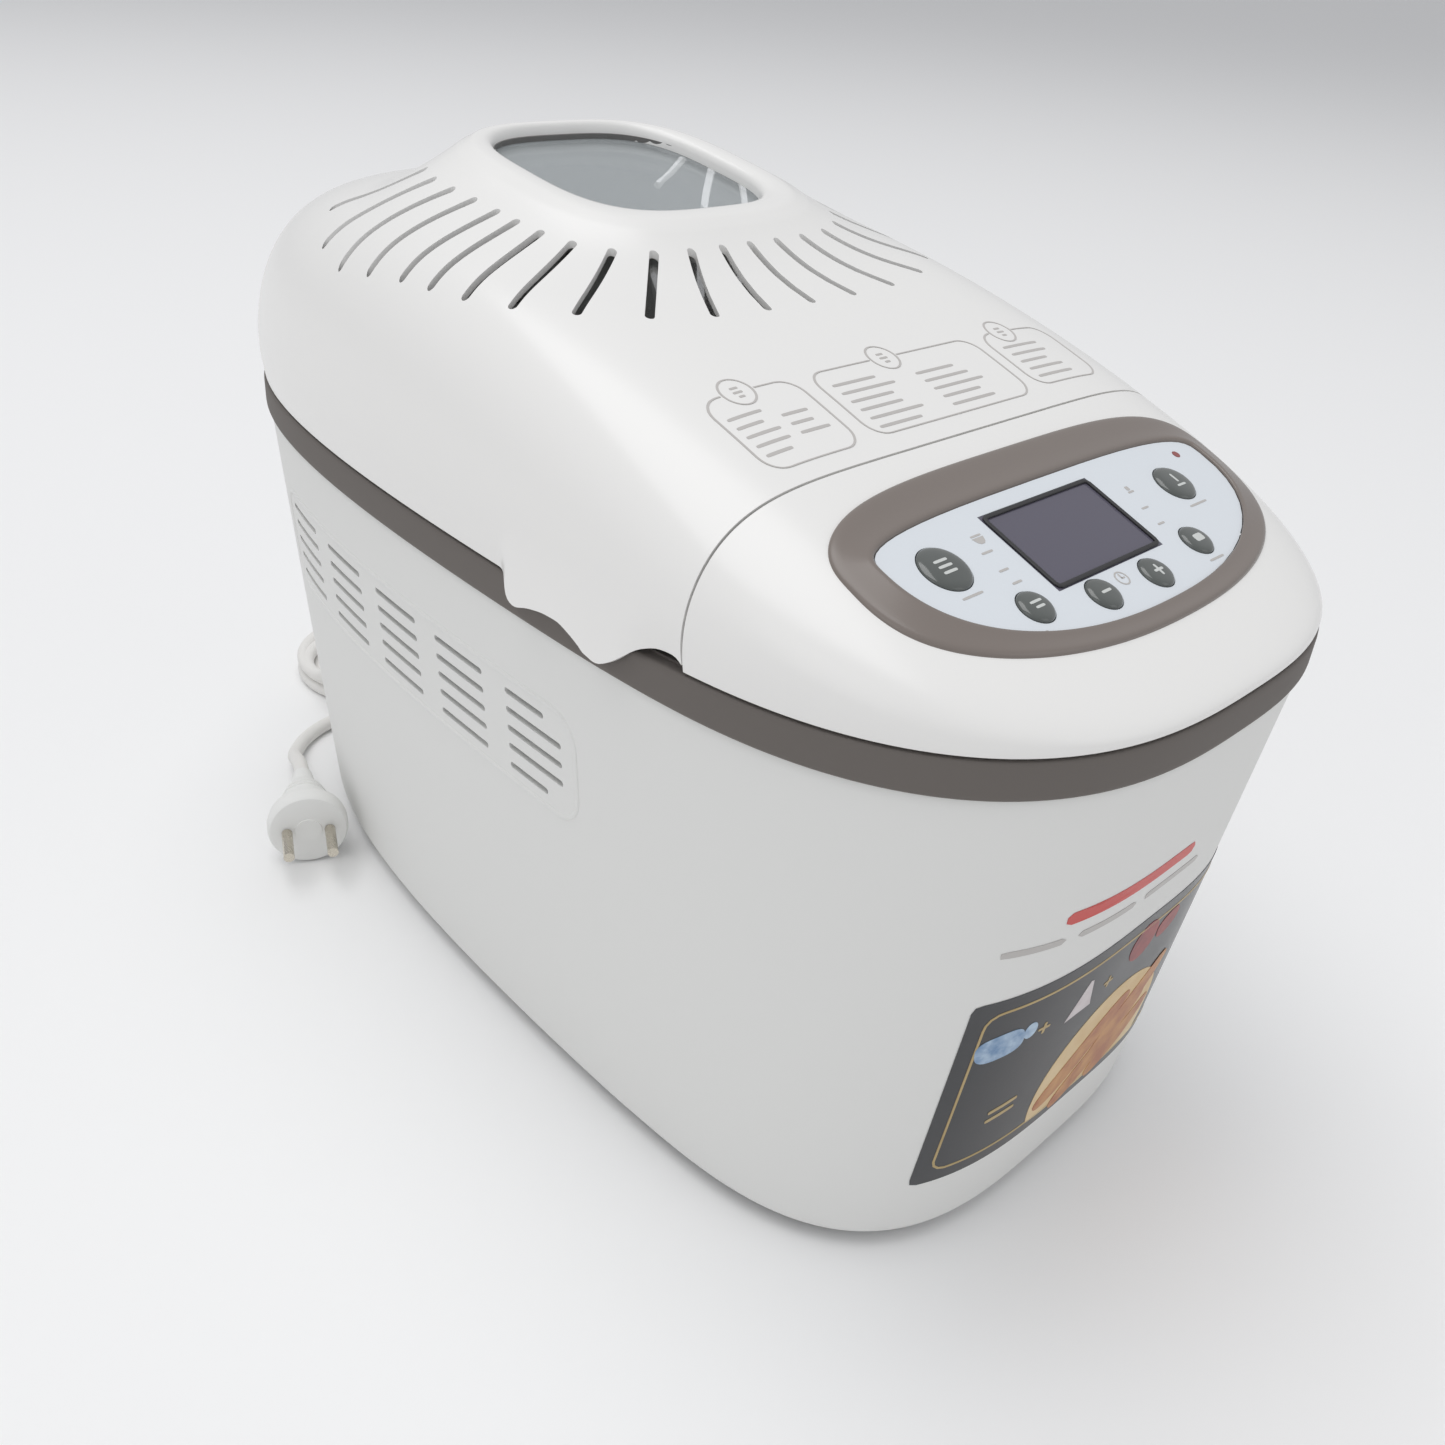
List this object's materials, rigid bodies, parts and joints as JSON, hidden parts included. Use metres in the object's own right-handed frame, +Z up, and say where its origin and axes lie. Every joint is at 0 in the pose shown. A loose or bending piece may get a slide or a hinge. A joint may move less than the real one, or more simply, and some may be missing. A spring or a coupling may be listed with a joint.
{
  "type": "bread machine",
  "caption": "Two-paddle bread machine with a windowed hinged lid, push-button panel, lift-out pan, oven and belt drive, with its mains lead coiled behind.",
  "frame": {"origin": "centre of the footprint of the machine, without its lead, on the floor under the feet", "axes": "+Z up, -Y toward the control panel, +X to the right of someone facing the panel from behind it"},
  "size_m": [0.2622, 0.544, 0.3213],
  "materials": {
    "casing_white": "satin white moulding with a fine texture",
    "gloss_white": "glossy warm white moulding",
    "band_taupe": "satin dark taupe moulding",
    "bezel_taupe": "glossy taupe moulding",
    "fascia_white": "pale cool white film",
    "display_glass": "dark violet grey display window",
    "button_grey": "glossy dark grey green",
    "indicator_red": "red light guide",
    "dark_plastic": "black heat proof plastic",
    "foot_rubber": "matt rubber",
    "seal_rubber": "silicone rubber",
    "screw_steel": "plated steel",
    "zinc_steel": "zinc plated sheet",
    "oven_steel": "bright sheet steel",
    "element_steel": "heat darkened tube",
    "cast_housing": "die cast",
    "shaft_steel": "ground steel",
    "pulley_plastic": "natural acetal",
    "belt_rubber": "toothed rubber belt",
    "motor_steel": "lamination stack and can",
    "circuit_board": "green laminate",
    "pan_coating": "aluminium with a dark non-stick coating",
    "paddle_coating": "cast aluminium with non-stick coating",
    "window_glass": "clear glass with a light grey tint",
    "lead_white": "white flexible sheath",
    "plug_white": "white moulded plug",
    "pin_brass": "nickel plated pins"
  },
  "bodies": {
    "housing": {"casing": "casing_white", "rim_band": "band_taupe", "oven_deck": "dark_plastic", "base_plate": "zinc_steel", "feet": "foot_rubber", "base_screws": "screw_steel", "hinge_brackets": "dark_plastic", "hinge_pin": "screw_steel", "control_housing": "gloss_white", "housing_back_plate": "casing_white", "panel_bezel": "bezel_taupe", "panel_fascia": "fascia_white", "display_window": "display_glass", "display_module": "dark_plastic", "control_board": "circuit_board", "indicator_light": "indicator_red", "oven_cavity": "oven_steel", "oven_posts": "zinc_steel", "heating_element": "element_steel", "element_clips": "zinc_steel", "oven_sensors": "screw_steel", "pan_clips": "screw_steel", "shaft_bearings": "cast_housing", "motor_belt": "belt_rubber", "link_belt": "belt_rubber", "motor_body": "motor_steel", "motor_bracket": "zinc_steel", "power_board": "circuit_board", "lead_gland": "lead_white", "lead_inner": "lead_white", "lead_coil": "lead_white", "lead_outer": "lead_white", "mains_plug": "plug_white", "plug_pins": "pin_brass"},
    "lid": {"lid_shell": "gloss_white", "lid_hinge_lugs": "gloss_white", "lid_liner": "oven_steel", "window_pane": "window_glass", "window_inner_pane": "window_glass", "window_seal": "seal_rubber"},
    "front_drive": {"front_drive_shaft": "shaft_steel", "drive_wheel": "pulley_plastic", "front_link_pulley": "pulley_plastic"},
    "rear_drive": {"rear_drive_shaft": "shaft_steel", "rear_link_pulley": "pulley_plastic"},
    "motor_shaft": {"motor_rotor": "shaft_steel", "motor_pulley": "pulley_plastic"},
    "pan": {"bread_pan": "pan_coating", "pan_fittings": "screw_steel"},
    "handle": {"pan_handle": "shaft_steel"},
    "front_kneader": {"front_pan_spindle": "shaft_steel", "front_paddle": "paddle_coating"},
    "rear_kneader": {"rear_pan_spindle": "shaft_steel", "rear_paddle": "paddle_coating"},
    "menu_button_key": {"menu_button": "button_grey"},
    "weight_button_key": {"weight_button": "button_grey"},
    "minus_button_key": {"minus_button": "button_grey"},
    "plus_button_key": {"plus_button": "button_grey"},
    "colour_button_key": {"colour_button": "button_grey"},
    "start_button_key": {"start_button": "button_grey"}
  },
  "joints": [
    {"name": "lid_hinge", "type": "hinge", "parent": "housing", "child": "lid", "pos_m": [0, 0.2268, 0.2125], "axis": [-1, 0, 0], "range_deg": [0, 84]},
    {"name": "front_drive_spin", "type": "hinge", "parent": "housing", "child": "front_drive", "pos_m": [0, -0.025, 0.03], "axis": [0, 0, 1], "continuous": true},
    {"name": "rear_drive_spin", "type": "hinge", "parent": "housing", "child": "rear_drive", "pos_m": [0, 0.085, 0.03], "axis": [0, 0, 1], "continuous": true},
    {"name": "motor_spin", "type": "hinge", "parent": "housing", "child": "motor_shaft", "pos_m": [0, -0.152, 0.05], "axis": [0, 0, 1], "continuous": true},
    {"name": "pan_lift", "type": "slide", "parent": "housing", "child": "pan", "axis": [0, 0, 1], "range_m": [0, 0.03]},
    {"name": "pan_handle_swing", "type": "hinge", "parent": "pan", "child": "handle", "pos_m": [0, 0.03, 0.184], "axis": [0, -1, 0], "range_deg": [0, 180]},
    {"name": "front_paddle_spin", "type": "hinge", "parent": "pan", "child": "front_kneader", "pos_m": [0, -0.025, 0.09], "axis": [0, 0, 1], "continuous": true},
    {"name": "rear_paddle_spin", "type": "hinge", "parent": "pan", "child": "rear_kneader", "pos_m": [0, 0.085, 0.09], "axis": [0, 0, 1], "continuous": true},
    {"name": "menu_button_press", "type": "slide", "parent": "housing", "child": "menu_button_key", "axis": [0, 0.3518, -0.9361], "range_m": [0, 0.0008], "stiffness_N_per_m": 400, "springref_m": -0.0005},
    {"name": "weight_button_press", "type": "slide", "parent": "housing", "child": "weight_button_key", "axis": [0, 0.3518, -0.9361], "range_m": [0, 0.0008], "stiffness_N_per_m": 400, "springref_m": -0.0005},
    {"name": "minus_button_press", "type": "slide", "parent": "housing", "child": "minus_button_key", "axis": [0, 0.3518, -0.9361], "range_m": [0, 0.0008], "stiffness_N_per_m": 400, "springref_m": -0.0005},
    {"name": "plus_button_press", "type": "slide", "parent": "housing", "child": "plus_button_key", "axis": [0, 0.3518, -0.9361], "range_m": [0, 0.0008], "stiffness_N_per_m": 400, "springref_m": -0.0005},
    {"name": "colour_button_press", "type": "slide", "parent": "housing", "child": "colour_button_key", "axis": [0, 0.3518, -0.9361], "range_m": [0, 0.0008], "stiffness_N_per_m": 400, "springref_m": -0.0005},
    {"name": "start_button_press", "type": "slide", "parent": "housing", "child": "start_button_key", "axis": [0, 0.3518, -0.9361], "range_m": [0, 0.0008], "stiffness_N_per_m": 400, "springref_m": -0.0005}
  ],
  "couplings": [
    {"joint": "rear_drive_spin", "follows": "front_drive_spin", "ratio": 1},
    {"joint": "motor_spin", "follows": "front_drive_spin", "ratio": 6},
    {"joint": "front_paddle_spin", "follows": "front_drive_spin", "ratio": 1},
    {"joint": "rear_paddle_spin", "follows": "front_drive_spin", "ratio": 1}
  ]
}
